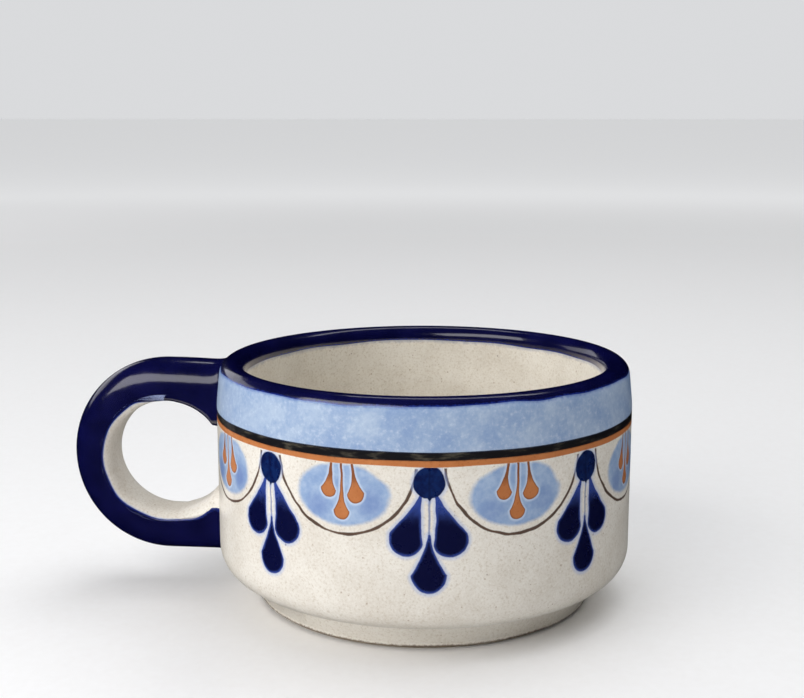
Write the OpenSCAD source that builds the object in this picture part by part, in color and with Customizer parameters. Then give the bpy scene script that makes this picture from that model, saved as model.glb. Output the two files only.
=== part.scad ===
// Low wide stoneware mug with a ring handle, a cobalt rim and a painted garland.
// Millimetres, +Z up. The origin is on the cup's axis, in the plane it stands on.
// The handle stands out along -X. Front is -Y.

/* [Cup] */
// Outside diameter of the cup, over its glaze
cup_d = 100; // [86:1:120]
// Height from the table to the top of the lip
cup_h = 58; // [50:1:70]
// Thickness of the wall, over both glazes
wall = 6.8; // [5.4:0.2:8]
// Thickness of the clay floor above the foot recess
floor_t = 4.6; // [3:0.2:7]
// Thickness of the fired glaze
glaze = 0.3; // [0.2:0.05:0.5]
// Radius of the heel, where the wall turns under
heel_r = 7; // [5:0.5:9]

/* [Foot] */
// How far the foot stands in from the cup's outside
foot_inset = 9.6; // [7:0.2:14]
// Height of the foot
foot_h = 6.4; // [3:0.2:8]
// Width of the ring the mug stands on
foot_ring = 6.5; // [4:0.5:9]
// Depth of the recess under the cup
recess = 2.6; // [1.5:0.1:2.8]

/* [Handle] */
// Height of the handle as a share of the cup's height
handle_share = 0.834; // [0.74:0.01:0.86]
// How far the handle stands out from the cup
handle_reach = 37.3; // [32:0.2:44]
// Width of the handle
handle_w = 14; // [10:0.5:17]
// Thickness of the handle from its flat inner face to its crown
handle_t = 10.4; // [8:0.2:11]
// Radius of the slip worked into the corner inside the handle
joint_r = 5.5; // [2:0.5:7]

/* [Bands] */
// Depth of the cobalt on the outside, from the top of the lip
rim_out = 1.7; // [1.2:0.1:3]
// Depth of the cobalt on the inside, from the top of the lip
rim_in = 3.8; // [3.2:0.1:8]
// Height of the pale blue band
pale_h = 9.3; // [6:0.1:11]
// Height of the dark line
dark_h = 1.8; // [1:0.1:2.5]
// Height of the terracotta line
terracotta_h = 1.3; // [0.8:0.1:2.5]

/* [Garland] */
// Number of times the garland repeats around the cup
repeats = 8; // [6:1:10]
// Turn of the first dot away from the front
garland_turn = 5.4; // [0:0.2:20]
// Thickness of the painted colour
paint = 0.2; // [0.1:0.05:0.3]

/* [Hidden] */
$fn = 240;
cup_r = cup_d / 2;
clay_r = cup_r - glaze;
lip_r = wall / 2 - 0.3;              // section radius of the rolled lip, over the glaze
lip_x = cup_r - 0.7 - lip_r;         // the roll leans in a little from the wall
lip_z = cup_h - lip_r;
taper_z = cup_h - 10;
foot_r = cup_r - foot_inset;
foot_edge = 0.9;                     // soft bottom edge of the foot
foot_cove = 1.8;                     // small cove between the foot and the heel
glaze_z = 1.2;                       // the outer coat is wiped clean below this height
well_r = cup_r - wall;               // inside of the cup, over the liner
well_z = recess + floor_t + glaze;   // floor of the cup, over the liner
well_corner = 9;
heel_z = foot_h + heel_r;

handle_h = cup_h * handle_share;
ring_r = handle_h / 2;               // from the ring's centre to the crown
ring_x = -(cup_r + handle_reach - ring_r);
ring_z = cup_h - 1.4 - ring_r;
crown_r = handle_w / 2;
crown_x = ring_r - crown_r;          // from the ring's centre to the centre of the crown
grip_r = ring_r - handle_t;          // radius of the finger hole
corner_r = 1.5;                      // soft corners of the handle's flat face
flat_y = crown_r - 1.6;              // half width of that face, with its corners
corner_y = flat_y - 0.9;
arm_end = -(cup_r - wall / 2);       // the arms run this far into the wall before they are trimmed
bead_r = 1.2;                        // radius of the collar of slip round each arm

rim_z = cup_h - rim_out;
pale_z = rim_z - pale_h;
dark_z = pale_z - dark_h;
terracotta_z = dark_z - terracotta_h;

// The garland is drawn for a straight wall 30.4 high and one repeat every 39.27,
// and shrinks or grows with whichever of the two is the tighter.
pitch = 360 / repeats;
garland = min((terracotta_z - heel_z) / 30.4, cup_r * pitch * PI / 180 / 39.27);
stroke = 0.7 * garland;

cream = [0.90, 0.88, 0.83];
clay = [0.80, 0.77, 0.70];
cobalt = [0.07, 0.09, 0.24];
pale_blue = [0.63, 0.74, 0.83];
dark = [0.13, 0.13, 0.13];
terracotta = [0.76, 0.45, 0.26];
wash_blue = [0.62, 0.72, 0.82];
brown = [0.30, 0.20, 0.14];

// ---- Cup ----

// Half section of the outside; coat is 0 for the clay and glaze for the glazed face.
module outside(coat) {
  r = clay_r + coat;
  inset = glaze - coat;
  difference() {
    union() {
      translate([0, heel_z]) square([r, taper_z - heel_z]);
      polygon([[0, taper_z], [r, taper_z], [lip_x + lip_r - inset, lip_z], [0, lip_z]]);
      translate([lip_x, lip_z]) circle(lip_r - inset);
      translate([0, foot_h + inset]) square([cup_r - heel_r, heel_r - inset]);
      translate([cup_r - heel_r, heel_z]) circle(heel_r - inset);
      foot(inset);
    }
    translate([-cup_r, -1]) square([cup_r, cup_h + 2]);
  }
}

// Half section of the foot: a soft bottom edge and a small cove up into the heel.
module foot(inset) {
  r = foot_r - inset;
  square([r - foot_edge, foot_h + 1]);
  translate([0, foot_edge]) square([r, foot_h + 1 - foot_edge]);
  translate([r - foot_edge, foot_edge]) circle(foot_edge);
  difference() {
    translate([0, foot_h - foot_cove]) square([r + foot_cove + inset, foot_cove + inset + 0.01]);
    translate([r + foot_cove + inset, foot_h - foot_cove]) circle(foot_cove + inset);
  }
}

// Half section of the hollow; coat is 0 for the clay and glaze for the glazed face.
module hollow(coat) {
  r = well_r + glaze - coat;
  corner = well_corner - coat;
  z = well_z - glaze + coat;
  translate([0, z + corner]) square([r, lip_z - z - corner]);
  translate([0, z]) square([r - corner, corner + 1]);
  intersection() {
    translate([r - corner, z + corner]) circle(corner);
    translate([0, z]) square([r, corner + 1]);
  }
  // over the lip the hollow opens out along the roll
  difference() {
    translate([0, lip_z - 0.01]) square([lip_x, lip_r + 1]);
    translate([lip_x, lip_z]) circle(lip_r - glaze + coat);
  }
}

module foot_recess() {
  translate([0, -1]) square([foot_r - foot_ring, recess + 1]);
}

module body() {
  color(clay) rotate_extrude() difference() {
    outside(0);
    hollow(0);
    foot_recess();
  }
}

// The outside as a filled solid, for trimming what meets it.
module cup_form(coat) {
  rotate_extrude() outside(coat);
}

// The outer coat between two heights, beyond a radius that leaves out the other side.
module coat_ring(r, z0, z1) {
  rotate_extrude() intersection() {
    difference() { outside(glaze); outside(0); }
    translate([r, z0]) square([cup_r, z1 - z0]);
  }
}

// ---- Handle ----

// Section of the handle, x from the ring's centre: a flat inner face with soft corners
// and a round crown. grow adds to the crown.
module grip(grow) {
  r = crown_r - glaze + grow;
  intersection() {
    translate([crown_x, 0]) circle(r);
    translate([grip_r + corner_r, -crown_r - 1]) square([2 * crown_r, 2 * crown_r + 2]);
  }
  translate([grip_r, -flat_y + corner_r]) square([corner_r + 0.1, 2 * (flat_y - corner_r)]);
  for (s = [-1, 1]) translate([grip_r + corner_r, s * (flat_y - corner_r)]) circle(corner_r);
}

// The cobalt coat's section: a crescent over the crown.
module grip_coat() {
  intersection() {
    difference() {
      translate([crown_x, 0]) circle(crown_r);
      translate([crown_x, 0]) circle(crown_r - glaze);
    }
    translate([grip_r + corner_r + 0.4, -crown_r - 1]) square([2 * crown_r, 2 * crown_r + 2]);
  }
}

// One straight arm of a section, from the ring into the wall.
// turn is 0 for the upper arm and 180 for the lower.
module arm(turn) {
  translate([0, 0, ring_z]) rotate([turn, 0, 0]) translate([arm_end, 0, 0])
    rotate([0, -90, 0]) linear_extrude(arm_end - ring_x) children();
}

// Sweeps a section round the ring and along both arms.
module along_handle() {
  translate([ring_x, 0, ring_z]) rotate([90, 0, 0])
    rotate_extrude(angle = 180, start = 90) children();
  arm(0) children();
  arm(180) children();
}

module handle() {
  color(cream) difference() {
    along_handle() grip(0);
    cup_form(0);
  }
}

module handle_glaze() {
  color(cobalt) difference() {
    along_handle() grip_coat();
    cup_form(glaze);
    joint_form(0);
    joint_form(180);
  }
}

// ---- Slip joints ----

// Slip worked round one arm where it meets the wall, before it is trimmed: a low collar
// round the arm, and a deeper curve in the corner under its flat face.
// turn is 0 for the upper arm and 180 for the lower.
module joint_form(turn) {
  collar = crown_r - glaze + bead_r;
  reach = clay_r + arm_end + bead_r;
  translate([0, 0, ring_z]) rotate([turn, 0, 0]) {
    translate([arm_end, 0, crown_x]) rotate([0, -90, 0]) rotate_extrude() difference() {
      square([collar, reach]);
      translate([collar, reach]) circle(bead_r + 0.3);
    }
    translate([0, corner_y, 0]) rotate([90, 0, 0]) linear_extrude(2 * corner_y) difference() {
      translate([-clay_r - joint_r, grip_r - joint_r])
        square([clay_r + joint_r + arm_end, joint_r + 0.4]);
      translate([0.3 - clay_r - joint_r, grip_r - joint_r + 0.3]) circle(joint_r + 0.3);
    }
  }
}

module slip_joint(turn) {
  difference() {
    joint_form(turn);
    arm(turn) grip(0);
    cup_form(0);
  }
}

module upper_slip_joint() {
  color(cream) slip_joint(0);
}

module lower_slip_joint() {
  color(cream) slip_joint(180);
}

// Everything of the handle that breaks the outer coat.
module handle_form() {
  along_handle() grip(glaze);
  joint_form(0);
  joint_form(180);
}

// ---- Glazes and bands ----

module liner_glaze() {
  color(cream) rotate_extrude() intersection() {
    difference() { hollow(0); hollow(glaze); }
    translate([0, recess]) square([cup_r, cup_h - rim_in - recess]);
  }
}

module rim_glaze() {
  color(cobalt) difference() {
    rotate_extrude() difference() {
      intersection() {
        outside(glaze);
        union() {
          translate([lip_x, rim_z]) square([cup_r, rim_out + 1]);
          translate([0, cup_h - rim_in]) square([lip_x, rim_in + 1]);
        }
      }
      outside_wall();
    }
    handle_form();
  }
}

// Half section of the clay wall with its hollow, less the liner's room.
module outside_wall() {
  difference() { outside(0); hollow(0); }
  hollow(glaze);
}

module wall_glaze() {
  color(cream) difference() {
    coat_ring(foot_r - 2, glaze_z, terracotta_z);
    handle_form();
  }
}

module pale_blue_band() {
  color(pale_blue) difference() {
    coat_ring(lip_x, pale_z, rim_z);
    handle_form();
  }
}

module dark_line() {
  color(dark) difference() {
    coat_ring(lip_x, dark_z, pale_z);
    handle_form();
  }
}

module terracotta_line() {
  color(terracotta) difference() {
    coat_ring(lip_x, terracotta_z, dark_z);
    handle_form();
  }
}

// ---- Garland ----
// Each motif is drawn flat, x along the wall and y up from the terracotta line's
// lower edge, then laid on the glaze. The first dot is at turn 0 of each repeat.

// A drop hanging from neck to bulb, each given as [x, y].
module drop(neck, bulb, bulb_r, neck_w) {
  shoulder = bulb_r * 0.92;
  rise = bulb_r * 0.4;
  translate(bulb) circle(bulb_r);
  polygon([
    [neck[0] - neck_w / 2, neck[1]], [neck[0] + neck_w / 2, neck[1]],
    [bulb[0] + shoulder, bulb[1] + rise], [bulb[0] - shoulder, bulb[1] + rise]
  ]);
}

module dot_shape() {
  translate([0, -3.3]) circle(3.1);
}

module cobalt_drop_shapes() {
  difference() {
    union() {
      drop([-1.5, -5], [-5.0, -15.4], 3.7, 0.8);
      drop([1.5, -5], [5.0, -15.4], 3.7, 0.8);
      drop([0, -17], [0, -23], 3.7, 0.6);
      translate([-0.3, -18]) square([0.6, 14]);
    }
    dot_shape();
  }
}

module swag_shape() {
  difference() {
    translate([0, 0.6]) circle(16.2 + stroke / garland / 2);
    translate([0, 0.6]) circle(16.2 - stroke / garland / 2);
    translate([-20, 0]) square([40, 20]);
  }
}

module terracotta_drop_shapes() {
  drop([0, 0], [0, -10.6], 1.75, 0.5);
  drop([-2.4, 0], [-3.2, -6.4], 1.7, 0.5);
  drop([2.4, 0], [3.2, -6.4], 1.7, 0.5);
}

module wash_shape() {
  difference() {
    intersection() {
      union() {
        for (s = [-1, 1]) translate([s * 4, -6.9]) circle(6.8);
        translate([-4, -13.7]) square([8, 13.6]);
      }
      translate([-20, -20]) square([40, 20]);
    }
    terracotta_drop_shapes();
  }
}

// Lays a flat motif on the wall at every repeat, turned by a share of the pitch. The one
// that would run under the handle is left out. Front is turn 0 and the handle is at -90.
module around(share) {
  turns = [for (i = [0 : repeats - 1]) garland_turn + (i + share) * pitch];
  for (a = turns) if (abs((a + 450) % 360 - 180) < 180 - 14) rotate([0, 0, a]) intersection() {
    rotate([90, 0, 0]) translate([0, terracotta_z, cup_r / 2]) linear_extrude(cup_r)
      scale([garland, garland]) children();
    rotate_extrude() translate([cup_r, heel_z - 2]) square([paint, terracotta_z - heel_z + 2]);
  }
}

// Painted motifs stop where the handle's joints cover them.
module paint_on(tint, share) {
  color(tint) difference() {
    around(share) children();
    handle_form();
  }
}

module cobalt_dots() {
  paint_on([0.08, 0.16, 0.30], 0) dot_shape();
}

module cobalt_drops() {
  paint_on(cobalt, 0) cobalt_drop_shapes();
}

module swag_lines() {
  paint_on(brown, 0.5) swag_shape();
}

module oval_washes() {
  paint_on(wash_blue, 0.5) wash_shape();
}

module terracotta_drops() {
  paint_on(terracotta, 0.5) terracotta_drop_shapes();
}

body();
handle();
upper_slip_joint();
lower_slip_joint();
liner_glaze();
rim_glaze();
wall_glaze();
handle_glaze();
pale_blue_band();
dark_line();
terracotta_line();
cobalt_dots();
cobalt_drops();
swag_lines();
oval_washes();
terracotta_drops();
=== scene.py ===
# %% [markdown]
# # A low stoneware mug, painted by hand
# The mug is thrown as a low wide cup, given a ring handle, glazed cream and painted with
# cobalt, terracotta and a thin brown line. This lesson builds it piece by piece round the
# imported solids: the shapes are surfaces worked out with numpy, and the glazes are node
# materials written as sums. Lengths in the working are millimetres, and every mesh is
# put into the file in metres.

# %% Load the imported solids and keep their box
import math

import bpy
import numpy as np
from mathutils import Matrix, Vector


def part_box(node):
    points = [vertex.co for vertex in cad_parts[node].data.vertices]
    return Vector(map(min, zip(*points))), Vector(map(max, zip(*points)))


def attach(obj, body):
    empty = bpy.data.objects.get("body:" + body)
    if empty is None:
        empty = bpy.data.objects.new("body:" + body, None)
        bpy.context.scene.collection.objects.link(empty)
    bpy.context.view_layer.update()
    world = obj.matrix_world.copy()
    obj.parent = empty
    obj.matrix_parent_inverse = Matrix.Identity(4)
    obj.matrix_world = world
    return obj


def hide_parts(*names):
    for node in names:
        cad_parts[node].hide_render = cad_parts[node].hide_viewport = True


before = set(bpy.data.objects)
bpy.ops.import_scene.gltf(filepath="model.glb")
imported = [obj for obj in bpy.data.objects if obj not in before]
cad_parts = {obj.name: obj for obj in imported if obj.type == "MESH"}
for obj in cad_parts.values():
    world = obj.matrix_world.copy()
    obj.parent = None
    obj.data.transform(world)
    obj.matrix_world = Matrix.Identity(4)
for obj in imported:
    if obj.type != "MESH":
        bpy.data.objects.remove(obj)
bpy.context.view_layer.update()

# %% [markdown]
# The sizes come from the solids themselves, so that a change of size in the design
# carries over. Only what the solids don't state, such as the roundness of the lip, is
# given here, and it is the same as in the design.

# %% Read the sizes off the solids
MM = 0.001


def span(node, axis):
    """Lowest and highest place of a solid along one axis (0, 1 or 2), in millimetres."""
    low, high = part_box(node)
    return low[axis] / MM, high[axis] / MM


cup_r = span("wall_glaze", 0)[1]
cup_h = span("rim_glaze", 2)[1]
coat = cup_r - span("body", 0)[1]
wall = cup_r - span("liner_glaze", 0)[1] + coat
rim_z = span("pale_blue_band", 2)[1]
pale_z = span("dark_line", 2)[1]
dark_z = span("terracotta_line", 2)[1]
paint_top = span("wall_glaze", 2)[1]
glaze_foot = span("wall_glaze", 2)[0]
rim_inside_z = span("rim_glaze", 2)[0]
well_z = span("liner_glaze", 2)[0] + coat
print(f"cup {2 * cup_r:.1f} across, {cup_h:.1f} high, wall {wall:.1f}, coat {coat:.2f}")
print(f"bands at {rim_z:.1f} {pale_z:.1f} {dark_z:.1f} {paint_top:.1f}")
print(f"glaze ends at {glaze_foot:.1f}")

# %% [markdown]
# A thrown cup is one outline turned round its axis. Drawing the outline once, from the
# middle of the inside, over the lip and down to the foot, lets every coat of glaze be a
# stretch of it, so neighbours meet with no gap. Running a soft average along the outline
# rounds its corners the way glaze does when it melts.

# %% The cup's outline
heel_r, foot_inset, foot_h = 7.0, 9.6, 6.4
foot_edge, foot_cove = 0.9, 1.8
foot_ring, recess_depth, recess_lip, recess_corner = 6.5, 2.6, 0.6, 1.2
foot_r = cup_r - foot_inset
lip_r = wall / 2 - 0.3
lip_x, lip_z = cup_r - 0.7 - lip_r, cup_h - lip_r
heel_z = foot_h + heel_r
well_corner = 9.0 - coat


def arc(centre, radius, start, end, count=24):
    """Points on a circle: centre plus radius times the cosine and sine, from start to end
    degrees."""
    a = np.radians(np.linspace(start, end, count))
    return np.c_[centre[0] + radius * np.cos(a), centre[1] + radius * np.sin(a)]


def even(points, step=0.2):
    """The same line with its points evenly spaced, found by interpolating along its length."""
    length = np.r_[0, np.cumsum(np.hypot(*np.diff(points, axis=0).T))]
    at = np.linspace(0, length[-1], int(length[-1] / step) + 1)
    return np.c_[np.interp(at, length, points[:, 0]), np.interp(at, length, points[:, 1])]


def softened(points, reach):
    """The line with each point moved to the bell-weighted mean of its neighbours within reach."""
    step = np.hypot(*(points[1] - points[0]))
    n = int(3 * reach / step)
    bell = np.exp(-0.5 * (np.arange(-n, n + 1) * step / reach) ** 2)
    bell /= bell.sum()
    head = 2 * points[0] - points[n:0:-1]
    tail = 2 * points[-1] - points[-2:-n - 2:-1]
    padded = np.vstack([head, points, tail])
    return np.c_[np.convolve(padded[:, 0], bell, "valid"), np.convolve(padded[:, 1], bell, "valid")]


well_r = cup_r - wall
outline = np.vstack([
    [[0, well_z]],
    arc((well_r - well_corner, well_z + well_corner), well_corner, -90, 0),
    arc((lip_x, lip_z), lip_r, 180, 0, 48),
    [[cup_r, cup_h - 10]],
    arc((cup_r - heel_r, heel_z), heel_r, 0, -90),
    arc((foot_r + foot_cove, foot_h - foot_cove), foot_cove, 90, 180, 12),
    [[foot_r, foot_edge + 0.3], [foot_r, 0.0]],
])
outline = softened(even(outline), 0.55)
outline[0, 0] = 0.0
tangent = np.gradient(outline, axis=0)
tangent /= np.hypot(*tangent.T)[:, None]
outward = np.c_[-tangent[:, 1], tangent[:, 0]]
travelled = np.r_[0, np.cumsum(np.hypot(*np.diff(outline, axis=0).T))]
top_of_lip = int(np.argmax(outline[:, 1]))


def at_height(z, inside=False):
    """How far along the outline a height is met, inside the cup or on its outside."""
    if inside:
        part = slice(0, top_of_lip)
        return np.interp(z, outline[part, 1], travelled[part])
    part = slice(top_of_lip, None)
    return np.interp(-np.asarray(z), -outline[part, 1], travelled[part])


print(f"outline {travelled[-1]:.0f} mm long, {len(outline)} points")

# %% [markdown]
# Nothing thrown is a perfect round. A few slow waves pull the cup a tenth of a
# millimetre out of true, and every piece goes through the same function, so that the
# coats stay on the clay.

# %% Waves of the hand
def waves(angle, seed, count=5, first=2):
    """A smooth line round the cup: sines of whole turns, each with its own phase, about 1 high."""
    rng = np.random.default_rng(seed)
    total = np.zeros_like(angle)
    for n in range(first, first + count):
        total += rng.normal() / n ** 0.5 * np.sin(n * angle + rng.uniform(0, 2 * np.pi))
    return total


def thrown(r, z, angle):
    """Radius, height and angle to a place, with the cup's slow waves; angle 0 is the front."""
    drift = 0.10 * np.sin(2 * angle + 0.8) + 0.05 * np.sin(3 * angle + 2.1)
    r = r * (1 + drift / cup_r)
    z = z + 0.12 * (z / cup_h) ** 2 * np.sin(angle + 0.7)
    return np.stack([r * np.sin(angle), -r * np.cos(angle), z], -1)


# %% [markdown]
# One function turns a grid of points into a closed mesh. Its rows may wrap round as its
# columns do, or end in a point on the axis, or be zipped shut. If the enclosed volume
# comes out negative, the faces point inwards, and the function turns them.

# %% A mesh from a grid of points
def sheet(name, grid, wrap_rows=True, ends=None, maps=None):
    """A mesh of quads through a grid of points (rows, columns, 3), in millimetres.

    The columns always wrap round, and so do the rows unless wrap_rows is False. Then
    ends says how the first and last rows close: "pole" where each is one point, and
    "fold" where the two halves of each row face each other and are zipped together.
    maps holds UV maps as functions of a corner's row and column and its face's."""
    rows, cols = grid.shape[:2]
    i, j = np.meshgrid(np.arange(rows if wrap_rows else rows - 1), np.arange(cols), indexing="ij")
    steps = ((0, 0), (1, 0), (1, 1), (0, 1))
    row = np.stack([i + a for a, b in steps], -1).reshape(-1, 4)
    col = np.stack([j + b for a, b in steps], -1).reshape(-1, 4)
    face_row, face_col = (np.repeat(n.ravel(), 4).reshape(-1, 4) for n in (i, j))
    if ends == "fold":
        k = np.arange(cols // 2 - 1)
        quad = np.stack([k, k + 1, cols - 2 - k, cols - 1 - k], -1)
        for end, order in ((0, quad), (rows - 1, quad[:, ::-1])):
            row = np.vstack([row, np.full_like(order, end)])
            col = np.vstack([col, order])
            face_row = np.vstack([face_row, np.full_like(order, end)])
            face_col = np.vstack([face_col, order])
    corner = (row % rows) * cols + col % cols
    if ends == "pole":
        corner[row == 0] = 0
        corner[row == rows - 1] = (rows - 1) * cols
    distinct = corner != np.roll(corner, 1, axis=1)
    keep = distinct.sum(1) >= 3
    corner, distinct = corner[keep], distinct[keep]
    row, col, face_row, face_col = (part[keep][distinct] for part in (row, col, face_row, face_col))
    counts = distinct.sum(1)
    loops = corner[distinct]
    starts = np.r_[0, np.cumsum(counts)[:-1]]
    used, loops = np.unique(loops, return_inverse=True)
    points = grid.reshape(-1, 3)[used]
    # the volume under each face, added up, is negative where the faces point inwards
    a, b, c, d = (points[loops[starts + np.minimum(n, counts - 1)]] for n in range(4))
    volume = (np.einsum("ij,ij->", a, np.cross(b, c)) + np.einsum("ij,ij->", a, np.cross(c, d))) / 6
    if volume < 0:
        face = np.repeat(np.arange(len(starts)), counts)
        turned = 2 * starts[face] + counts[face] - 1 - np.arange(len(loops))
        loops, row, col, face_row, face_col = (
            part[turned] for part in (loops, row, col, face_row, face_col))
    mesh = bpy.data.meshes.new(name)
    mesh.vertices.add(len(points))
    mesh.vertices.foreach_set("co", (points * MM).astype(np.float32).ravel())
    mesh.loops.add(len(loops))
    mesh.loops.foreach_set("vertex_index", loops.astype(np.int32))
    mesh.polygons.add(len(starts))
    mesh.polygons.foreach_set("loop_start", starts.astype(np.int32))
    for label, place in (maps or {}).items():
        spots = place(row, col, face_row, face_col)
        mesh.uv_layers.new(name=label).uv.foreach_set("vector", spots.astype(np.float32).ravel())
    mesh.update(calc_edges=True)
    mesh.shade_smooth()
    mesh.set_sharp_from_angle(angle=math.radians(40))
    piece = bpy.data.objects.new(name, mesh)
    bpy.context.scene.collection.objects.link(piece)
    print(f"{name}: {len(points)} points, {len(starts)} faces, {abs(volume) / 1000:.2f} cm3")
    return piece


def finish(piece, material, nodes):
    """Gives a piece its material and its body, and hides the solids it stands for."""
    piece.data.materials.append(material)
    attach(piece, "root")
    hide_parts(*nodes)


# %% [markdown]
# Shader maths reads best as sums. `Sum` wraps one output of a node and overloads the
# operators, so `1 - mask * 0.5` adds the Math nodes by itself. `Glaze` is one material:
# its `node` adds any other node, given its type, its settings and what goes into it.

# %% Sums of sockets, and a material to hold them
class Sum:
    """One output of a node, on which Python's operators work."""

    def __init__(self, glaze, socket):
        self.glaze, self.socket = glaze, socket

    def maths(self, operation, *values, clamp=False):
        settings = {"operation": operation, "use_clamp": clamp}
        return self.glaze.node("Math", settings, list(values))

    def __add__(self, other): return self.maths("ADD", self, other)
    def __radd__(self, other): return self.maths("ADD", other, self)
    def __sub__(self, other): return self.maths("SUBTRACT", self, other)
    def __rsub__(self, other): return self.maths("SUBTRACT", other, self)
    def __mul__(self, other): return self.maths("MULTIPLY", self, other)
    def __rmul__(self, other): return self.maths("MULTIPLY", other, self)
    def __truediv__(self, other): return self.maths("DIVIDE", self, other)
    def __pow__(self, other): return self.maths("POWER", self, other)
    def __neg__(self): return self.maths("MULTIPLY", self, -1.0)
    def __abs__(self): return self.maths("ABSOLUTE", self)
    def least(self, other): return self.maths("MINIMUM", self, other)
    def most(self, other): return self.maths("MAXIMUM", self, other)
    def floor(self): return self.maths("FLOOR", self)
    def clamped(self): return self.maths("ADD", self, 0.0, clamp=True)


class Glaze:
    """A material with one Principled shader, whose unchanging sockets are set by name."""

    def __init__(self, name, **unchanging):
        self.material = bpy.data.materials.new(name)
        self.material.use_nodes = True
        self.tree = self.material.node_tree
        self.tree.nodes.clear()
        out = self.tree.nodes.new("ShaderNodeOutputMaterial")
        self.shader = self.tree.nodes.new("ShaderNodeBsdfPrincipled")
        self.tree.links.new(self.shader.outputs[0], out.inputs[0])
        for socket, value in unchanging.items():
            self.shader.inputs[socket.replace("_", " ")].default_value = value

    def node(self, kind, settings=None, inputs=(), out=0):
        """Adds a node, applies its settings, fills its inputs and returns one output."""
        made = self.tree.nodes.new("ShaderNode" + kind)
        for key, value in (settings or {}).items():
            setattr(made, key, value)
        pairs = inputs.items() if isinstance(inputs, dict) else enumerate(inputs)
        for key, value in pairs:
            if isinstance(value, Sum):
                self.tree.links.new(value.socket, made.inputs[key])
            elif isinstance(value, tuple) and len(value) == 3 and made.inputs[key].type == "RGBA":
                made.inputs[key].default_value = (*value, 1.0)
            else:
                made.inputs[key].default_value = value
        return Sum(self, made.outputs[out])

    def feed(self, socket, value):
        self.tree.links.new(value.socket, self.shader.inputs[socket])

    def place(self):
        """The place on the mug in millimetres, as a vector."""
        spot = self.node("TexCoord", None, (), "Object")
        return self.node("VectorMath", {"operation": "SCALE"}, {0: spot, 3: 1 / MM})

    def parts(self, vector):
        return [self.node("SeparateXYZ", None, [vector], k) for k in range(3)]

    def noise(self, place, size, detail=3.0, rough=0.55, seed=0.0, out=0):
        """Cloudy noise about 0.5, with clouds about size millimetres across."""
        return self.node("TexNoise", {"noise_dimensions": "4D"},
                         {"Vector": place, "W": seed, "Scale": 1.0 / size, "Detail": detail,
                          "Roughness": rough}, out)

    def ease(self, value, low, high):
        """0 at low, 1 at high and a smooth rise between, or a fall where high is below low."""
        if low > high:
            return 1 - self.ease(value, high, low)
        return self.node("MapRange", {"interpolation_type": "SMOOTHSTEP"},
                         {0: value, 1: low, 2: high, 3: 0.0, 4: 1.0})

    def mix(self, share, first, second):
        """Colours: first where share is 0 and second where it is 1."""
        return self.node("Mix", {"data_type": "RGBA"}, {0: share, 6: first, 7: second}, 2)

    def bump(self, height, strength=1.0):
        """Feeds the shader's normal from a height in millimetres."""
        made = self.node("Bump", None, {"Strength": strength, "Distance": MM, "Height": height})
        self.feed("Normal", made)


def srgb(*levels):
    """A colour picked as 0 to 255 on a screen, as the linear light that shaders use."""
    c = np.array(levels) / 255
    return tuple(float(x) for x in np.where(c < 0.04045, c / 12.92, ((c + 0.055) / 1.055) ** 2.4))


print("materials are written as sums from here on")

# %% [markdown]
# Bare stoneware shows only on the ring the mug stands on and in the hollow under it. It
# is a warm grey buff with dark grains, rougher than the glaze, and carries the fine
# rings that the turning tool left.

# %% Bare clay
def specks(glaze, place, size, largest, seed=0.0):
    """1 in scattered round grains: cells of a random pattern, each with its own radius."""
    pattern = {"Vector": place, "Scale": 1 / size, "Randomness": 1.0, "W": seed}
    far = glaze.node("TexVoronoi", {"voronoi_dimensions": "4D"}, pattern, 0)
    luck = glaze.node("TexVoronoi", {"voronoi_dimensions": "4D"}, pattern, 1)
    luck = glaze.node("SeparateXYZ", None, [luck], 0)
    radius = luck ** 8.0 * (largest / size)
    return glaze.ease(far - radius, 0.05, -0.02)


bare = Glaze("bare stoneware", Roughness=0.82, IOR=1.45)
place = bare.place()
x, y, z = bare.parts(place)
radius = (x * x + y * y) ** 0.5
cloud = bare.noise(place, 6.0, 4.0, seed=1.0)
colour = bare.mix(cloud, srgb(186, 172, 148), srgb(214, 202, 180))
colour = bare.mix(bare.ease(bare.noise(place, 0.5, 2.0, seed=2.0), 0.52, 0.75) * 0.35,
                  colour, srgb(150, 132, 106))
colour = bare.mix(specks(bare, place, 1.6, 0.5) * 0.8, colour, srgb(92, 66, 44))
# a dark brown band low on the bare foot, just above the floor: partly the clay's iron line and
# partly painted contact shadow
colour = bare.mix(bare.ease(z, 0.1, 0.5) * bare.ease(z, 2.0, 1.2) * 0.8, colour, srgb(96, 70, 46))
bare.feed("Base Color", colour)
rings = bare.node("TexNoise", {"noise_dimensions": "1D"},
                  {"W": radius, "Scale": 2.2, "Detail": 3.0, "Roughness": 0.6})
bare.bump(rings * 0.10 + bare.noise(place, 0.35, 2.0, seed=3.0) * 0.05, 0.8)

# %% [markdown]
# The clay body is a turned solid: the outline moved in by the coat's thickness, then the
# bare foot, its flat ring and the hollow under the cup. Each coat on it is a thin shell
# between two lines round the cup, and those lines waver, since they end where a brush or
# a dip ended. Two neighbours share their line, so they meet exactly.

# %% The clay body
COLS = 720
angles = np.linspace(-np.pi, np.pi, COLS, endpoint=False)
inside_wall = travelled[top_of_lip]


def surface(s, angle, depth=0.0):
    """The place s along the outline at an angle, depth under the glazed face: the outline
    moved along its normal, with the low spiral that fingers leave inside a thrown cup."""
    r, z, across, up = (np.interp(s, travelled, line) for line in (
        outline[:, 0], outline[:, 1], outward[:, 0], outward[:, 1]))
    fade = np.clip((inside_wall - 7 - s) / 8, 0, 1) * np.clip(s / 12, 0, 1)
    spiral = 0.05 * np.sin(2 * np.pi * s / 5.4 + angle) * fade
    return thrown(r + across * (spiral - depth), z + up * (spiral - depth), angle)


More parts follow.
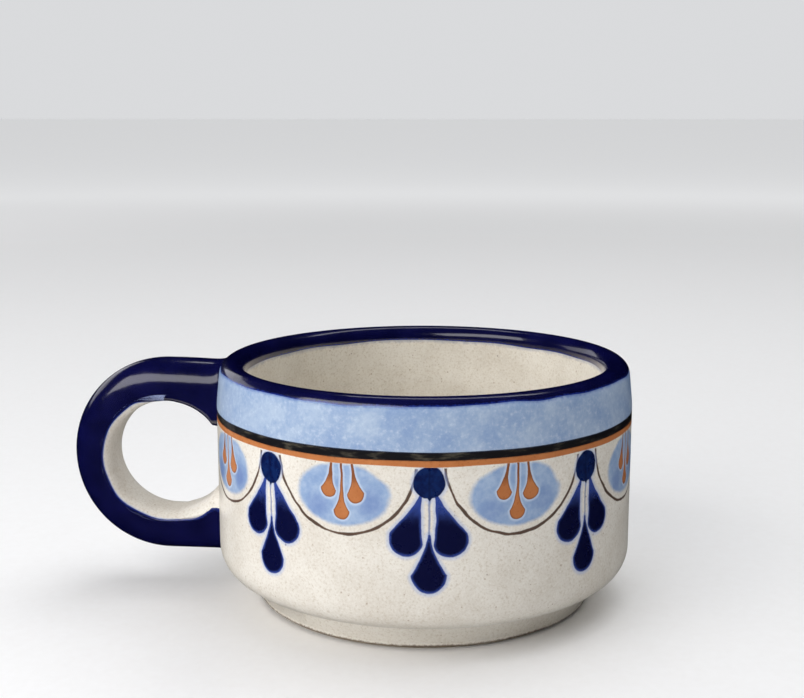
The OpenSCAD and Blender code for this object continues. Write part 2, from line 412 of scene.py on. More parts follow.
def strips(rows_out, rows, cols, count):
    """A map for baking: the outer face cut into stacked strips, the hidden rows in slivers."""
    def lay(row, col, face_row, face_col):
        strip = face_col * count // cols
        across = (col - strip * cols / count) / (cols / count)
        seen = face_row < rows_out - 1
        up = np.where(seen, 0.03 + 0.88 * row / (rows_out - 1),
                      0.95 + 0.03 * (row - rows_out + 1) / max(rows - rows_out + 1, 1))
        return np.stack([0.01 + 0.98 * across, (strip + up) / count], -1)
    return lay


foot_clay = foot_r - coat
recess = span("body", 2)[0] + recess_depth
recess_r = foot_r - foot_ring
glazed = outline[outline[:, 1] >= 0] - coat * outward
glazed = glazed[(np.arange(len(glazed)) < top_of_lip) | (glazed[:, 1] > foot_edge + 0.2)]
glazed[0, 0] = 0.0
underside = np.vstack([
    arc((foot_clay - foot_edge, foot_edge), foot_edge, 0, -90, 12),
    [[recess_r + recess_lip, 0.0]],
    arc((recess_r + recess_lip, recess_lip), recess_lip, -90, -180, 8),
    arc((recess_r - recess_corner, recess - recess_corner), recess_corner, 0, 90, 8),
    [[0.0, recess]],
])
profile = even(np.vstack([glazed, underside]), 1.05)
profile[0, 0] = profile[-1, 0] = 0.0
around = angles[::3]
body_grid = thrown(profile[:, :1], profile[:, 1:], around[None, :])
clay_body = sheet("clay_body", body_grid, wrap_rows=False, ends="pole",
                  maps={"OFBake": strips(len(profile), len(profile), len(around), 2)})
finish(clay_body, bare.material, ["body"])

# %% [markdown]
# The cream glaze is white clouded with grey and buff, like oatmeal, because iron in the
# stoneware shows through it. The same recipe serves for the wall, the inside and the
# handle, so it is one function, which other colours are then laid over.

# %% The cream glaze
def cream(glaze, place, light, shade):
    """Colour of the cream glaze: two clouds of different size, fine grain and iron specks."""
    cloud = glaze.noise(place, 11.0, 4.0, 0.6, seed=11.0)
    grain = glaze.noise(place, 0.55, 3.0, 0.75, seed=12.0)
    colour = glaze.mix(glaze.ease(cloud, 0.35, 0.7) * 0.75, light, shade)
    colour = glaze.mix(glaze.ease(grain, 0.48, 0.72) * 0.55, colour, srgb(188, 174, 152))
    colour = glaze.mix(glaze.ease(grain, 0.48, 0.28) * 0.5, colour, srgb(243, 240, 233))
    colour = glaze.mix(specks(glaze, place, 1.9, 0.32, 5.0) * 0.7, colour, srgb(116, 84, 56))
    return glaze.mix(specks(glaze, place, 0.8, 0.26, 6.0) * 0.5, colour, srgb(150, 120, 88))


def coat_relief(glaze, place):
    """Height of a melted glaze, in millimetres: a slow swell and the faint skin of an orange."""
    swell = glaze.noise(place, 5.0, 2.0, seed=21.0)
    skin = glaze.noise(place, 0.8, 2.0, seed=22.0)
    return swell * 0.10 + skin * 0.014


def ring_of_glaze(name, first, last, rows, hidden=3):
    """A closed shell between two lines round the cup: outer rows from the first line to the
    last on the glazed face, then hidden rows back on the clay. Its map "edges" holds the
    distance in millimetres from each line."""
    height = last - first
    out = first + height * np.linspace(0, 1, rows)[:, None]
    back = first + height * np.linspace(1, 0, hidden)[:, None]
    grid = np.concatenate([surface(out, angles), surface(back, angles, coat)])
    place_along = np.concatenate([out, back, out[:1]])

    def edges(row, col, face_row, face_col):
        s = place_along[row, col % COLS]
        return np.stack([s - first[col % COLS], last[col % COLS] - s], -1)

    count = max(1, round((2 * np.pi * cup_r / float(np.mean(height))) ** 0.5))
    while COLS % count:
        count += 1
    return sheet(name, grid, maps={
        "edges": edges, "OFBake": strips(rows, rows + hidden, COLS, count)})


def line_round(z, waver, seed, inside=False, count=14):
    """A line round the cup near a height, wavering by so much, as places on the outline."""
    return at_height(z + waver * waves(angles, seed, count), inside) + np.zeros(COLS)


rim_in_line = line_round(rim_inside_z, 0.13, 3, inside=True)
rim_line = line_round(rim_z, 0.09, 4, count=30)
pale_line = line_round(pale_z, 0.07, 5)
dark_edge = line_round(dark_z, 0.06, 6)
paint_line = line_round(paint_top, 0.06, 7)
foot_line = line_round(glaze_foot * 0.6, 0.08, 8)
print("coats meet at", [round(float(line.mean()), 1) for line in (
    rim_in_line, rim_line, pale_line, dark_edge, paint_line, foot_line)], "mm along the outline")

# %% [markdown]
# The inside is the same cream, greyer and without paint. The cobalt of the rim has run
# into it a little, so its top edge is faintly blue.

# %% The liner
liner = Glaze("cream liner glaze", Roughness=0.42, Specular_IOR_Level=0.35,
              Coat_Weight=0.15, Coat_Roughness=0.2)
place = liner.place()
edges = liner.node("UVMap", {"uv_map": "edges"})
from_rim = liner.node("SeparateXYZ", None, [edges], 1)
colour = cream(liner, place, srgb(234, 229, 218), srgb(216, 209, 196))
ragged = liner.noise(place, 1.6, 3.0, seed=31.0)
stain = liner.ease(from_rim + ragged * 1.6, 1.9, 0.5)
colour = liner.mix(stain * 0.55, colour, srgb(96, 112, 150))
liner.feed("Base Color", colour)
liner.bump(coat_relief(liner, place) + liner.noise(place, 0.45, 2.0, seed=32.0) * 0.02)

rows, hidden = 100, 34
picked = np.arange(0, COLS, 2)
out = rim_in_line[picked] * np.linspace(0, 1, rows)[:, None]
back = rim_in_line[picked] * np.linspace(1, 0, hidden)[:, None]
grid = np.concatenate([surface(out, angles[picked]), surface(back, angles[picked], coat)])
along = np.concatenate([out, back])


def liner_edges(row, col, face_row, face_col):
    s = along[row, col % len(picked)]
    return np.stack([s, rim_in_line[picked][col % len(picked)] - s], -1)


cream_liner = sheet("cream_liner", grid, wrap_rows=False, ends="pole", maps={
    "edges": liner_edges, "OFBake": strips(rows, rows + hidden, len(picked), 2)})
finish(cream_liner, liner.material, ["liner_glaze"])

# %% [markdown]
# Cobalt glaze is almost black where it lies thick and turns a clear blue where it thins
# at an edge. It is the glossiest thing on the mug, so it gets a clear coat over it, with
# a slow swell that bends the highlights.

# %% The cobalt glaze
def cobalt_glaze(name, edge_out=None, thin_to=0.8):
    """Cobalt glaze. edge_out lists which distances of the map "edges" it thins towards."""
    glaze = Glaze(name, Roughness=0.2, Specular_IOR_Level=0.4,
                  Coat_Weight=0.8, Coat_Roughness=0.06)
    place = glaze.place()
    pool = glaze.noise(place, 7.0, 3.0, seed=41.0)
    grain = glaze.noise(place, 0.7, 2.0, seed=42.0)
    colour = glaze.mix(glaze.ease(pool, 0.3, 0.7), srgb(6, 7, 48), srgb(11, 12, 62))
    colour = glaze.mix(glaze.ease(grain, 0.6, 0.8) * 0.2, colour, srgb(28, 34, 100))
    edges = glaze.node("UVMap", {"uv_map": "edges"})
    for part in edge_out or ():
        near = glaze.node("SeparateXYZ", None, [edges], part)
        near = near + (grain - 0.5) * 0.9
        colour = glaze.mix(glaze.ease(near, thin_to, 0.0) * 0.75, colour, srgb(36, 56, 140))
    glaze.feed("Base Color", colour)
    glaze.bump(coat_relief(glaze, place) * 1.3)
    return glaze


rim_glaze = cobalt_glaze("cobalt rim glaze", (0, 1), 0.5)
cobalt_rim = ring_of_glaze("cobalt_rim", rim_in_line, rim_line, 44, 14)
finish(cobalt_rim, rim_glaze.material, ["rim_glaze"])

# %% [markdown]
# The pale blue band is cobalt washed thin with a broad wet brush. It settled in clouds,
# and a few grains of colour stayed as dark points.

# %% The pale blue band
def blue_wash(glaze, place, seed):
    """Colour of a thin cobalt wash: clouds of more and less colour, drawn out round the cup."""
    big = glaze.noise(place, 9.0, 3.0, 0.55, seed=seed)
    small = glaze.noise(place, 1.0, 3.0, 0.7, seed=seed + 1)
    share = glaze.ease(big + (small - 0.5) * 0.5, 0.22, 0.78)
    colour = glaze.mix(share, srgb(130, 156, 196), srgb(178, 195, 215))
    colour = glaze.mix(glaze.ease(small, 0.52, 0.8) * 0.45, colour, srgb(206, 217, 232))
    return glaze.mix(specks(glaze, place, 2.6, 0.5, seed) * 0.85, colour, srgb(38, 52, 100))


band = Glaze("pale blue wash", Roughness=0.32, Specular_IOR_Level=0.35,
             Coat_Weight=0.25, Coat_Roughness=0.09)
place = band.place()
edges = band.node("UVMap", {"uv_map": "edges"})
from_cobalt = band.node("SeparateXYZ", None, [edges], 0)
ragged = band.noise(place, 1.0, 3.0, seed=51.0)
colour = blue_wash(band, place, 52.0)
run_in = band.ease(from_cobalt + ragged * 1.1, 1.25, 0.35)
colour = band.mix(run_in * 0.75, colour, srgb(52, 84, 168))
band.feed("Base Color", colour)
band.bump(coat_relief(band, place))
painted_pale_band = ring_of_glaze("painted_pale_band", rim_line, pale_line, 14)
finish(painted_pale_band, band.material, ["pale_blue_band"])

# %% [markdown]
# Two lines were laid while the cup turned: a dark one, in which the brush's overlaps show
# as an olive grey, and a terracotta one under it.

# %% The dark and terracotta lines
dark = Glaze("dark line", Roughness=0.32, Specular_IOR_Level=0.3,
             Coat_Weight=0.15, Coat_Roughness=0.09)
place = dark.place()
flow = dark.node("VectorMath", {"operation": "MULTIPLY"}, [place, (1.0, 1.0, 4.0)])
overlap = dark.noise(flow, 5.0, 4.0, 0.6, seed=61.0)
edges = dark.node("UVMap", {"uv_map": "edges"})
top = dark.node("SeparateXYZ", None, [edges], 0)
colour = dark.mix(dark.ease(overlap, 0.5, 0.72) * 0.8, srgb(24, 23, 26), srgb(92, 86, 72))
colour = dark.mix(dark.ease(top, 0.35, 0.0) * 0.5, colour, srgb(60, 72, 100))
dark.feed("Base Color", colour)
dark.bump(coat_relief(dark, place) + dark.noise(flow, 0.7, 2.0, seed=62.0) * 0.02)
painted_dark_line = ring_of_glaze("painted_dark_line", pale_line, dark_edge, 6)
finish(painted_dark_line, dark.material, ["dark_line"])


def terracotta_colour(glaze, place):
    """Colour of the terracotta slip: warm orange brown, paler where it is thin, with grains."""
    patch = glaze.noise(place, 3.0, 3.0, seed=71.0)
    grain = glaze.noise(place, 0.5, 2.0, seed=72.0)
    colour = glaze.mix(patch, srgb(172, 96, 46), srgb(201, 131, 78))
    return glaze.mix(glaze.ease(grain, 0.55, 0.75) * 0.4, colour, srgb(140, 72, 38))


earth = Glaze("terracotta line", Roughness=0.36, Specular_IOR_Level=0.3,
              Coat_Weight=0.15, Coat_Roughness=0.12)
place = earth.place()
edges = earth.node("UVMap", {"uv_map": "edges"})
top, bottom = (earth.node("SeparateXYZ", None, [edges], k) for k in (0, 1))
ragged = earth.noise(place, 0.8, 2.0, seed=73.0)
colour = terracotta_colour(earth, place)
colour = earth.mix(earth.ease(top + ragged * 0.3, 0.45, 0.1) * 0.6, colour, srgb(60, 38, 28))
colour = earth.mix(earth.ease(bottom + ragged * 0.35, 0.35, 0.1) * 0.5, colour, srgb(216, 196, 172))
earth.feed("Base Color", colour)
earth.bump(coat_relief(earth, place))
painted_terracotta_line = ring_of_glaze("painted_terracotta_line", dark_edge, paint_line, 5)
finish(painted_terracotta_line, earth.material, ["terracotta_line"])

# %% [markdown]
# The garland is eight repeats of one motif: a dot with three cobalt drops hanging from
# it, a thin brown swag to the next dot, and between them a pale oval with three
# terracotta drops. It is worked out in the material. The wall is unrolled into a width
# and a height in millimetres and folded into one repeat, and each brush mark is a
# distance from a line, less the brush's width there. A little noise bends all of it, and
# each repeat is shifted by its own small amount, as hand painting is.

# %% Brush marks as distances
def drop(x, y, top, bulb, thin, full, swell):
    """Distance outside a drop: from a line between its top and the middle of its bulb, less
    a radius that grows from thin to full as the share of the way down to the power swell."""
    (ax, ay), (bx, by) = top, bulb
    dx, dy = bx - ax, by - ay
    square = dx * dx + dy * dy
    share = ((x - ax) * (dx / square) + (y - ay) * (dy / square)).clamped()
    away_x, away_y = x - ax - share * dx, y - ay - share * dy
    away = (away_x * away_x + away_y * away_y) ** 0.5
    return away - share ** swell * (full - thin) - thin


REPEATS = 8
pitch = 2 * np.pi * cup_r / REPEATS
turn_deg = 5.4
turn = math.radians(turn_deg)

wall_paint = Glaze("painted cream glaze", Specular_IOR_Level=0.35,
                   Coat_Weight=0.3, Coat_Roughness=0.09)
place = wall_paint.place()
x, y, z = wall_paint.parts(place)
angle = wall_paint.node("Math", {"operation": "ARCTAN2"}, [x, -y])
bend = wall_paint.noise(place, 4.5, 1.5, seed=81.0) - 0.5
bend2 = wall_paint.noise(place, 4.5, 1.5, seed=82.0) - 0.5
rough_edge = wall_paint.noise(place, 0.6, 2.0, seed=83.0) - 0.5
along = (angle - turn) * cup_r + x * (2.2 / cup_r) - 1.0 + bend * 0.9
down = z - paint_top + bend2 * 0.8


def folded(offset, seed):
    """Place along the wall from the middle of its repeat, the repeat's number, and three
    chances of its own between -1 and 1."""
    number = (along * (1 / pitch) + offset).floor()
    middle = along - (number + (0.5 - offset)) * pitch
    number = number.maths("FLOORED_MODULO", number, float(REPEATS))
    chance = wall_paint.node("TexWhiteNoise", {"noise_dimensions": "1D"}, {"W": number + seed}, 1)
    one, two, three = wall_paint.parts(chance)
    return middle, number, one * 2 - 1, two * 2 - 1, three * 2 - 1


dot_x, number, luck_x, luck_y, _ = folded(0.5, 0.37)
# the motif that would lie under the handle was left out
under_handle = round((-90 - turn_deg) / (360 / REPEATS)) % REPEATS
steps_off = abs(number - float(under_handle))
shown = steps_off.maths("GREATER_THAN", steps_off, 0.5)
dot_x, dot_y = dot_x + luck_x * 0.35, down + luck_y * 0.35
swag_x, _, luck_x, luck_y, luck_size = folded(0.0, 0.71)
oval_x, oval_y = swag_x + luck_x * 0.5, down + luck_y * 0.4
print(f"one repeat is {pitch:.2f} mm wide; repeat {under_handle} is under the handle")

# %% [markdown]
# The cobalt marks: necks start thin and blue at the dot and swell to a bulb that is
# nearly black. A pale blue stain has crept out round them into the cream.

# %% The cobalt drops
left = drop(dot_x, dot_y, (-1.75, -6.0), (-5.05, -15.4), 0.35, 3.85, 1.3)
right = drop(dot_x, dot_y, (1.3, -5.8), (4.75, -15.5), 0.35, 3.9, 1.3)
bottom = drop(dot_x, dot_y, (0.0, -14.6), (0.0, -23.3), 0.3, 3.9, 1.4)
drops = left.least(right).least(bottom) + rough_edge * 0.16
stem = (abs(dot_x + 0.05) - 0.22).most(abs(dot_y + 11.3) - 5.6) + rough_edge * 0.15
centre_y = dot_y + 3.2
dot = ((dot_x * dot_x + centre_y * centre_y) ** 0.5 - 3.45).least(
    drop(dot_x, dot_y, (0.0, -7.1), (0.0, -4.2), 0.1, 2.2, 1.0)) + rough_edge * 0.2

# %% [markdown]
# The swag is an arc of a circle from one dot to the next, drawn with a fine brush that
# pressed harder in some places. The oval is a soft wash with two stronger puddles.

# %% The swag, the oval and the terracotta drops
press = wall_paint.noise(place, 5.0, 3.0, seed=84.0)
arc_y = down - 1.3
swag = abs((swag_x * swag_x + arc_y * arc_y) ** 0.5 - 16.6) - press * 0.5 - 0.07 + rough_edge * 0.12
swag = swag.most(down + 0.25)
oval_far = ((oval_x * (1 / 11.2)) ** 2.0 + ((oval_y + 7.0) * (1 / 6.9)) ** 2.0) ** 0.5
oval = wall_paint.ease(oval_far + rough_edge * 0.05 + bend * 0.12, 1.05, 0.90)
tear_l = drop(oval_x, oval_y, (-2.2, 0.8), (-3.2, -6.2), 0.27, 1.85, 3.2)
tear_m = drop(oval_x, oval_y, (0.0, 0.8), (0.0, -10.5), 0.27, 1.95, 5.5)
tear_r = drop(oval_x, oval_y, (2.4, 0.8), (3.3, -6.6), 0.27, 1.95, 3.2)
tears = tear_l.least(tear_m).least(tear_r) + rough_edge * 0.12

# %% [markdown]
# The marks are laid over the cream one after another, from the palest to the darkest,
# as a painter would.

# %% The painted wall
ease, mix = wall_paint.ease, wall_paint.mix
edges = wall_paint.node("UVMap", {"uv_map": "edges"})
from_foot = wall_paint.node("SeparateXYZ", None, [edges], 1)
colour = cream(wall_paint, place, srgb(232, 227, 217), srgb(217, 210, 198))
colour = mix(ease(from_foot, 7.5, 2.0) * 0.12, colour, srgb(206, 196, 172))
# a dark brown line where the glaze ends at the foot: partly the glaze's iron edge and partly
# painted contact shadow at the floor
colour = mix(ease(from_foot + rough_edge * 0.8, 0.5, 0.0) * 0.8, colour, srgb(88, 66, 44))

puddle_l = ((oval_x + 6.0) ** 2.0 + (oval_y + 10.0) ** 2.0) ** 0.5
puddle_r = ((oval_x - 6.6) ** 2.0 + (oval_y + 8.6) ** 2.0) ** 0.5
puddles = ease(puddle_l, 4.2, 0.8).most(ease(puddle_r, 4.4, 0.8))
wash = wall_paint.noise(place, 2.2, 4.0, 0.65, seed=85.0)
wash_colour = mix(ease(wash, 0.3, 0.75), srgb(126, 156, 200), srgb(162, 185, 214))
wash_colour = mix(puddles * (0.5 + luck_size * 0.25), wash_colour, srgb(86, 118, 182))
colour = mix(oval * 0.95, colour, wash_colour)
colour = mix(oval * specks(wall_paint, place, 2.4, 0.5, 86.0) * 0.8, colour, srgb(40, 52, 96))

colour = mix(ease(tears, 0.7, 0.1) * oval * 0.7, colour, srgb(198, 212, 230))
tear_edge = ease(tears, -0.42, -0.02).most(ease(oval_y, -5.2, -2.8))
tear_colour = mix(tear_edge * 0.75, terracotta_colour(wall_paint, place), srgb(112, 62, 36))
tear_mask = ease(tears, 0.08, -0.08)
colour = mix(tear_mask, colour, tear_colour)

brown = mix(press, srgb(98, 64, 42), srgb(50, 34, 26))
swag_mask = ease(swag, 0.10, -0.10)
colour = mix(swag_mask * 0.95, colour, brown)

halo = ease(drops.least(dot), 1.1, 0.0) * 0.5
colour = mix(halo * shown, colour, srgb(146, 172, 222))
colour = mix(ease(stem, 0.15, -0.15) * shown * 0.75, colour, srgb(96, 116, 168))
streak = wall_paint.noise(place, 1.3, 3.0, seed=87.0)
inked = ease(streak * 0.5 - drops - 0.25, 0.0, 0.8) * ease(dot_y + (streak - 0.5) * 3, -7.5, -12.5)
cobalt = mix(inked, srgb(46, 68, 144), srgb(6, 10, 54))
cobalt = mix(ease(drops, -0.35, 0.05) * 0.22, cobalt, srgb(40, 60, 136))
drop_mask = ease(drops, 0.12, -0.12) * shown
colour = mix(drop_mask, colour, cobalt)
teal = mix(ease(streak, 0.35, 0.65), srgb(4, 18, 68), srgb(8, 36, 90))
teal = mix(ease(abs(dot_x), 0.35, 0.1) * 0.5, teal, srgb(4, 10, 52))
dot_mask = ease(dot, 0.12, -0.12) * shown
colour = mix(dot_mask, colour, teal)
wall_paint.feed("Base Color", colour)
painted = (drop_mask + dot_mask).clamped()
wall_paint.feed("Roughness", 0.32 - painted * 0.08 + wash * 0.08)
wall_paint.bump(coat_relief(wall_paint, place) + painted * 0.03 + tear_mask * 0.02)

painted_wall = ring_of_glaze("painted_wall", paint_line, foot_line, 64, 8)
finish(painted_wall, wall_paint.material, [
    "wall_glaze", "cobalt_dots", "cobalt_drops", "swag_lines", "oval_washes", "terracotta_drops"])

# %% [markdown]
# The handle is a pulled strip of clay bent to a ring, round outside and nearly flat where
# the finger goes. A section is carried along a path of two straight arms and half a
# ring. Near the wall the section swells, because slip was worked into the joint.

# %% The handle's path and section
crown_y = span("handle_glaze", 1)[1]
handle_top = span("handle_glaze", 2)[1]
handle_low = span("handle_glaze", 2)[0]
ring_r = (handle_top - handle_low) / 2
ring_z = (handle_top + handle_low) / 2
ring_x = span("handle_glaze", 0)[0] + ring_r
handle_thick = 10.4
grip_r = ring_r - handle_thick
crown_x = ring_r - crown_y
dip = crown_x - grip_r


def section(v):
    """The handle's section at a turn v round it, 0 on the crown: a half circle outside, and
    half of a squared oval, a power of 3, inside. Gives distance out from the ring's
    centre, sideways place, and the outward direction."""
    c, s = np.cos(v), np.sin(v)
    inner = np.abs(v) > np.pi / 2
    flat_u = -dip * np.abs(c) ** (2 / 3)
    flat_y = crown_y * np.sign(s) * np.abs(s) ** (2 / 3)
    u = np.where(inner, flat_u, crown_y * c)
    y = np.where(inner, flat_y, crown_y * s)
    nu = np.where(inner, -(np.abs(flat_u) / dip) ** 2 / dip, c)
    ny = np.where(inner, np.sign(s) * (np.abs(flat_y) / crown_y) ** 2 / crown_y, s)
    size = np.hypot(nu, ny)
    return crown_x + u, y, nu / size, ny / size


def wall_x(y, z):
    """Distance of the cup's glazed wall from the axis plane, at a place across and a height."""
    r = np.interp(-np.minimum(z, cup_h - 0.4), -outline[top_of_lip:, 1], outline[top_of_lip:, 0])
    return (r ** 2 - y ** 2) ** 0.5


arm_steps, ring_steps = 46, 150
reach = np.concatenate([np.linspace(0, 1, arm_steps, endpoint=False) ** 1.3, np.ones(ring_steps),
                        np.linspace(1, 0, arm_steps + 1)[1:] ** 1.3])
bent = np.concatenate([np.zeros(arm_steps), np.linspace(0, np.pi, ring_steps),
                       np.full(arm_steps, np.pi)])
stations = len(bent)
arm_length = -ring_x - cup_r


def handle_surface(rows, v, lift, joined=True):
    """Places on the handle for stations rows and turns v (same shape), lift above its face.

    On an arm the place runs from the wall to the ring by the share reach, and on the ring
    it turns by bent. Where it is joined, the inner half is drawn out so that the finger
    hole's circle goes on up to the wall, and a low collar swells round the arm there."""
    u, y, nu, ny = section(v)
    share, phi = reach[rows], bent[rows]
    upper = phi < np.pi / 2
    up = np.where(upper, 1.0, -1.0)
    collar = np.zeros_like(v)
    drawn = np.ones_like(v)
    for _ in range(4):
        au = crown_x + (u - crown_x) * np.where(u < crown_x, drawn, 1) + nu * (collar + lift)
        ay = y + ny * (collar + lift)
        start = wall_x(ay, ring_z + up * au) - 0.25
        x = -(start + (-ring_x - start) * share)
        if joined:
            past = np.clip(x - ring_x, 0, 11.4)
            gap = grip_r - (grip_r ** 2 - past ** 2) ** 0.5
            drawn = 1 + gap / dip * np.where(upper, 1.0, 0.85)
            collar = 0.8 * np.exp(-np.maximum(-x - start, 0) / 0.9)
    drift = 0.12 * np.sin(2.3 * phi + 0.6) * np.sin(phi)
    drift = drift - 0.5 * np.clip(nu, 0, 1) * upper * (1 - share) ** 2
    au, ay = au + nu * drift, ay + ny * drift
    bends = share >= 1.0
    return np.stack([np.where(bends, ring_x - au * np.sin(phi), x), ay,
                     ring_z + np.where(bends, au * np.cos(phi), up * au)], -1)


turns = np.linspace(-np.pi, np.pi, 132, endpoint=False)
row_grid, turn_grid = np.meshgrid(np.arange(stations), turns, indexing="ij")
print(f"ring {2 * ring_r:.1f} high, finger hole {2 * grip_r:.1f}, handle {2 * crown_y:.1f} wide")

# %% [markdown]
# The cobalt lies over the crown and both sides and stops short of the flat inner face,
# along a line that wavers. It thins out towards that line, so the cream under it shows a
# blue bleed. The bleed needs the distance from the line, and a map carries it.

# %% The handle's clay and its cream face
# turns at which the cobalt ends on the two sides, near the corners of the inner face
lap = np.linspace(-np.pi, np.pi, stations)
near_arm, cobalt_end = math.radians(28), math.radians(113)
creep = np.clip((near_arm - bent) / near_arm, 0, 1) ** 1.6 * math.radians(64)
edge_left, edge_right = (cobalt_end + 0.035 * waves(lap, seed, 9, 3) + creep for seed in (9, 10))
run_mm = np.concatenate([[0], np.cumsum(np.where(
    np.diff(reach) != 0, np.abs(np.diff(reach)) * arm_length, np.diff(bent) * (ring_r - 4)))])

handle_cream = Glaze("cream handle glaze", Roughness=0.34, Specular_IOR_Level=0.35,
                     Coat_Weight=0.2, Coat_Roughness=0.12)
place = handle_cream.place()
edges = handle_cream.node("UVMap", {"uv_map": "edges"})
from_cobalt = handle_cream.node("SeparateXYZ", None, [edges], 0)
ragged = handle_cream.noise(place, 0.9, 3.0, seed=91.0)
colour = cream(handle_cream, place, srgb(232, 227, 217), srgb(217, 210, 198))
bleed = handle_cream.ease(from_cobalt + ragged * 0.9, 1.3, 0.4)
colour = handle_cream.mix(bleed * 0.7, colour, srgb(104, 136, 206))
handle_cream.feed("Base Color", colour)
handle_cream.bump(coat_relief(handle_cream, place))


def from_edge(v, row):
    """Millimetres round the section from the cobalt's edge, more on the inner face."""
    edge = np.where(v < 0, edge_left[row], edge_right[row])
    return (np.abs(v) - edge) * 6.6


def clay_edges(row, col, face_row, face_col):
    v, row = turns[col % len(turns)], row.clip(0, stations - 1)
    return np.stack([from_edge(v, row), run_mm[row]], -1)


def plain_strips(rows, cols):
    def lay(row, col, face_row, face_col):
        return np.stack([0.02 + 0.96 * col / cols, 0.02 + 0.96 * row / rows], -1)
    return lay


clay_lift = -coat * (np.abs(turn_grid) < 1.75)
grid = handle_surface(row_grid, turn_grid, clay_lift, joined=False)
handle_clay = sheet("handle_clay", grid, wrap_rows=False, ends="fold", maps={
    "edges": clay_edges, "OFBake": plain_strips(stations - 1, len(turns))})
finish(handle_clay, handle_cream.material, ["handle"])

# %% [markdown]
# The upper joint is a sleeve of slip under cobalt, drawn down into a spur inside the
# handle. The lower joint is a fillet inside the handle only, and stayed cream. It dives
# into the handle where it ends, so no seam shows.

# %% The slip joints
def sleeve(name, rows, lift):
    """A closed sleeve round the handle over some stations: lifted rows out, hidden rows back."""
    out = handle_surface(row_grid[rows], turn_grid[rows], lift)
    back = handle_surface(row_grid[rows][::-1], turn_grid[rows][::-1], np.full(lift.shape, -0.7))
    source = np.concatenate([rows, rows[::-1], rows[:1]])

    def run(row, col, face_row, face_col):
        v = turns[col % len(turns)]
        return np.stack([from_edge(v, source[row]) + 1.2, run_mm[source[row]]], -1)

    return sheet(name, np.concatenate([out, back]), maps={
        "edges": run, "OFBake": strips(len(rows), 2 * len(rows), len(turns), 1)})


joint_rows = int(np.searchsorted(reach[:arm_steps], 0.8))
rows = np.arange(joint_rows + 1)
joint_paint = cobalt_glaze("cobalt joint glaze")
inner_face = np.clip((np.abs(turn_grid[rows]) - 1.75) / 0.15, 0, 1)
upper_joint = sleeve("upper_joint", rows, 0.06 * inner_face)
finish(upper_joint, joint_paint.material, ["upper_slip_joint"])

rows = np.arange(stations - joint_rows - 1, stations)
dive = np.clip((reach[rows][:, None] - 0.7) / 0.2, 0, 1)
inside = np.clip((np.abs(turn_grid[rows]) - 1.88) / 0.12, 0, 1)
lower_joint = sleeve("lower_joint", rows, inside * (0.42 - 0.4 * dive) - 0.4)
finish(lower_joint, handle_cream.material, ["lower_slip_joint"])

# %% [markdown]
# The cobalt coat is a crescent over the crown that starts where the upper joint ends and
# runs down to the wall. It thins to almost nothing at both edges, like a real pour.

# %% The handle's cobalt
rows = np.arange(joint_rows, stations)
across = np.sin(np.linspace(-np.pi / 2, np.pi / 2, 110))
v = np.where(across < 0, across * edge_left[rows][:, None], across * edge_right[rows][:, None])
thin = 0.06 * np.clip((1 - np.abs(across)) / 0.04, 0, 1) * (np.abs(across) > 0.9)
row_of = np.broadcast_to(rows[:, None], v.shape)
grid = np.concatenate([handle_surface(row_of, v, thin + 0 * v),
                       handle_surface(row_of, v[:, ::-1], np.full(v.shape, -0.6))], 1)


def coat_edges(row, col, face_row, face_col):
    k = col % grid.shape[1]
    share = np.where(k < len(across), k, 2 * len(across) - 1 - k)
    r = row.clip(0, len(rows) - 1)
    return np.stack([(1 - np.abs(across[share])) * edge_left[rows][r] * 6.8, run_mm[rows][r]], -1)


handle_paint = cobalt_glaze("cobalt handle glaze", (0,), 1.1)
handle_coat = sheet("handle_coat", grid, wrap_rows=False, ends="fold", maps={
    "edges": coat_edges, "OFBake": plain_strips(len(rows) - 1, grid.shape[1])})
finish(handle_coat, handle_paint.material, ["handle_glaze"])

# %% [markdown]
# A plain pale floor carries the shadow. A wide soft light stands high at the front left,
# as a window would; weaker ones fill the shade. The sky and the floor are kept out of the
# glaze's reflections, so the cobalt stays deep and only the lights gleam in it. Far from
# the mug, where the lights don't reach, the floor glows a little, so that it stays as pale
# as the sky behind it.

# %% Floor, light and camera
floor_mesh = bpy.data.meshes.new("floor")
floor_mesh.from_pydata([(-40, -40, 0), (40, -40, 0), (40, 40, 0), (-40, 40, 0)], [], [(0, 1, 2, 3)])
floor = bpy.data.objects.new("floor", floor_mesh)
bpy.context.scene.collection.objects.link(floor)
ground = Glaze("pale floor", Roughness=0.42, IOR=1.45, Emission_Strength=1.0)
place = ground.place()
grain = ground.noise(place, 2.0, 3.0, seed=95.0)
ground.feed("Base Color", ground.mix(grain, srgb(243, 242, 241), srgb(249, 249, 249)))
x, y, z = ground.parts(place)
far = ground.ease(x * x + y * y, 450.0 ** 2, 1700.0 ** 2)
ground.feed("Emission Color", ground.mix(far, srgb(0, 0, 0), srgb(158, 159, 160)))
floor.data.materials.append(ground.material)
floor.visible_glossy = False

world = bpy.data.worlds.new("studio")
bpy.context.scene.world = world
world.use_nodes = True
world.cycles_visibility.glossy = False
sky = world.node_tree
way = sky.nodes.new("ShaderNodeTexCoord").outputs["Generated"]
lean = sky.nodes.new("ShaderNodeVectorMath")
lean.operation = "DOT_PRODUCT"
lean.inputs[1].default_value = (-0.35, 0.75, 0.45)
sky.links.new(way, lean.inputs[0])
spread = sky.nodes.new("ShaderNodeMapRange")
spread.interpolation_type = "SMOOTHSTEP"
for k, value in ((1, -0.5), (2, 0.7), (3, 0.10), (4, 0.72)):
    spread.inputs[k].default_value = value
sky.links.new(lean.outputs["Value"], spread.inputs[0])
sky.links.new(spread.outputs[0], sky.nodes["Background"].inputs["Strength"])
sky.nodes["Background"].inputs["Color"].default_value = (0.97, 0.98, 1.0, 1.0)
bpy.context.scene.view_settings.view_transform = "Standard"


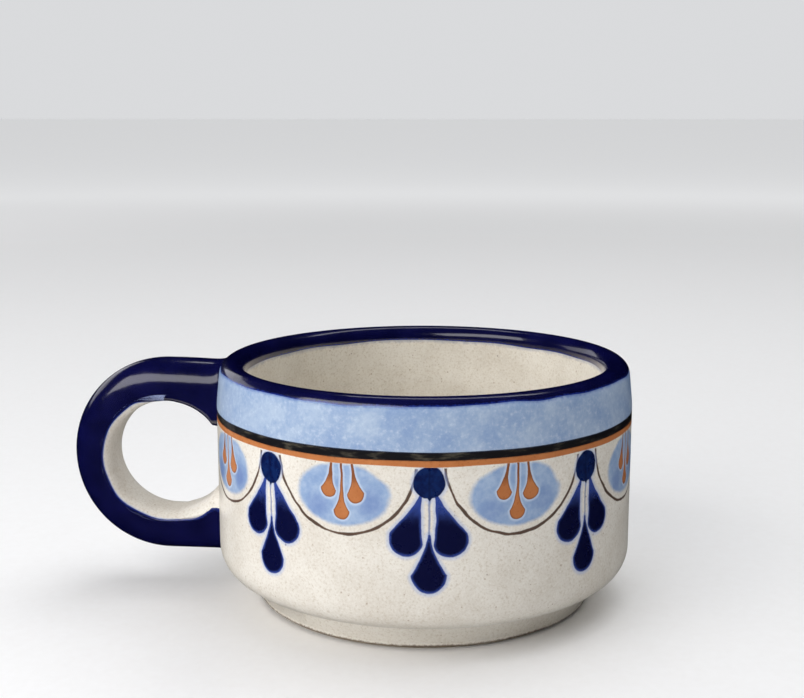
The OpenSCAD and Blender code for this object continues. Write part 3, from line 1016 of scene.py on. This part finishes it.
def soft_light(name, place, size, power, colour, mirrored=True):
    """A wide area light at a place, turned to face the mug; lengths in metres. One that
    isn't mirrored lights the mug and leaves no reflection in its glaze."""
    lamp = bpy.data.lights.new(name, "AREA")
    lamp.shape, lamp.energy, lamp.color = "RECTANGLE", power, colour
    lamp.size, lamp.size_y = size
    thing = bpy.data.objects.new(name, lamp)
    thing.location = place
    gaze = Vector((0, 0, 0.03)) - Vector(place)
    thing.rotation_euler = gaze.to_track_quat("-Z", "Y").to_euler()
    thing.visible_glossy = mirrored
    bpy.context.scene.collection.objects.link(thing)


soft_light("window", (-0.62, -0.72, 0.78), (1.25, 0.55), 6.0, (1.0, 0.99, 1.0))
soft_light("fill", (-0.62, -0.78, 0.24), (0.8, 0.5), 4.2, (1.0, 0.99, 0.98), mirrored=False)
soft_light("ceiling", (0.1, 0.6, 1.1), (0.9, 0.16), 0.9, (0.97, 0.98, 1.0))
soft_light("wall behind", (-0.95, 0.75, 0.42), (0.9, 0.4), 1.0, (0.98, 0.97, 1.0))
soft_light("room", (0.3, 0.35, 1.2), (1.2, 1.2), 6.5, (0.98, 0.99, 1.0), mirrored=False)

# the camera goes round by yaw and looks down by tilt; the two aims shift the picture
yaw, tilt = math.radians(4.5), math.radians(15.45)
aim_side, aim_up = math.radians(0.97), math.radians(5.23)
middle, distance = np.array([0, 0, 0.030]), 0.320
side = np.array([math.cos(yaw), math.sin(yaw), 0])
level = np.array([-math.sin(yaw), math.cos(yaw), 0])
ahead = level * math.cos(tilt) - np.array([0, 0, math.sin(tilt)])
rise = level * math.sin(tilt) + np.array([0, 0, math.cos(tilt)])
gaze = ahead - math.tan(aim_side) * side + math.tan(aim_up) * rise
eye = middle - distance * ahead
camera = bpy.data.objects.new("camera", bpy.data.cameras.new("camera"))
camera.data.lens, camera.data.sensor_width = 58.07, 36.0  # both in millimetres
camera.location = eye
camera.rotation_euler = Vector(gaze).to_track_quat("-Z", "Y").to_euler()
bpy.context.scene.collection.objects.link(camera)
bpy.context.scene.camera = camera
